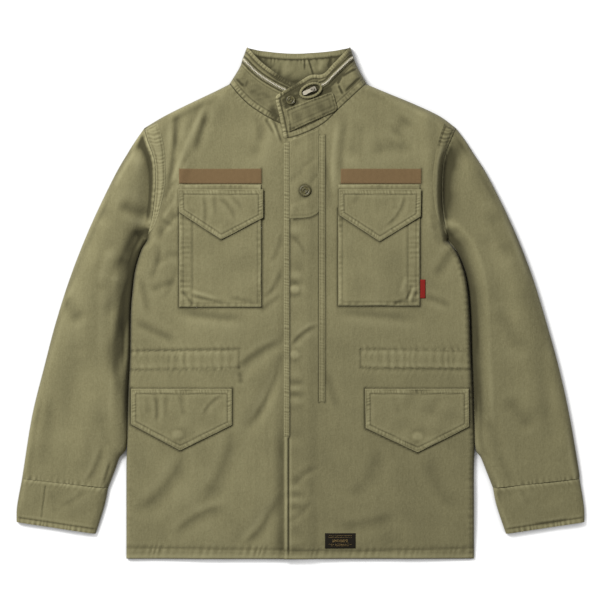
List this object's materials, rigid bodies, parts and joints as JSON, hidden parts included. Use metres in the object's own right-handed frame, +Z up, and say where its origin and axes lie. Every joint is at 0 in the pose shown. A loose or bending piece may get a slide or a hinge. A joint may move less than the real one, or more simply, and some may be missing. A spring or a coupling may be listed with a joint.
{
  "type": "field jacket",
  "caption": "Cotton field jacket laid out flat on its back, with a stand collar, collar zip, neck tab, covered snap fly, flapped chest and lower pockets, and long sleeves.",
  "frame": {"origin": "middle of the footprint, on the surface that the jacket lies on", "axes": "+X to the wearer's left, +Y from the hem to the collar, +Z up from the surface, out of the front"},
  "size_m": [0.9096, 0.8188, 0.039],
  "materials": {
    "olive_cotton": "garment-washed olive cotton sateen, matt, paler along seams",
    "cotton_inside": "the same cotton on the back, seen inside the collar",
    "brown_tape": "woven brown tape, bare",
    "red_tape": "folded red woven tab, bare",
    "black_label": "black woven label with plain gold lines",
    "zip_chain": "metal teeth on a woven tape",
    "zip_metal": "plated slider and pull, softly worn",
    "snap_metal": "dark olive lacquered snap caps"
  },
  "bodies": {
    "jacket": {"armhole_band_left": "olive_cotton", "armhole_band_right": "olive_cotton", "back": "cotton_inside", "chest_flap_left": "olive_cotton", "chest_flap_right": "olive_cotton", "chest_pocket_left": "olive_cotton", "chest_pocket_right": "olive_cotton", "collar_back": "cotton_inside", "collar_band_left": "olive_cotton", "collar_band_right": "olive_cotton", "collar_panel_left": "olive_cotton", "collar_panel_right": "olive_cotton", "collar_zip_left": "zip_chain", "collar_zip_right": "zip_chain", "cuff_top_left": "olive_cotton", "cuff_top_right": "olive_cotton", "cuff_under_left": "olive_cotton", "cuff_under_right": "olive_cotton", "fly_edge": "olive_cotton", "fly_snap": "snap_metal", "fly_welt": "olive_cotton", "front_left": "olive_cotton", "front_right": "olive_cotton", "hem_label": "black_label", "lower_flap_left": "olive_cotton", "lower_flap_right": "olive_cotton", "name_tape_left": "brown_tape", "name_tape_right": "brown_tape", "neck_snap": "snap_metal", "neck_tab": "olive_cotton", "side_tab": "red_tape", "sleeve_top_left": "olive_cotton", "sleeve_top_right": "olive_cotton", "sleeve_under_left": "olive_cotton", "sleeve_under_right": "olive_cotton", "zip_end_rim": "olive_cotton", "zip_slider": "zip_metal"},
    "zip_pull": {"zip_pull": "zip_metal"}
  },
  "joints": [
    {"name": "zip_pull_swing", "type": "hinge", "parent": "jacket", "child": "zip_pull", "pos_m": [0.02008, 0.33902, 0.03703], "axis": [-0.4003, 0.9164, 0], "range_deg": [0, 160]}
  ]
}
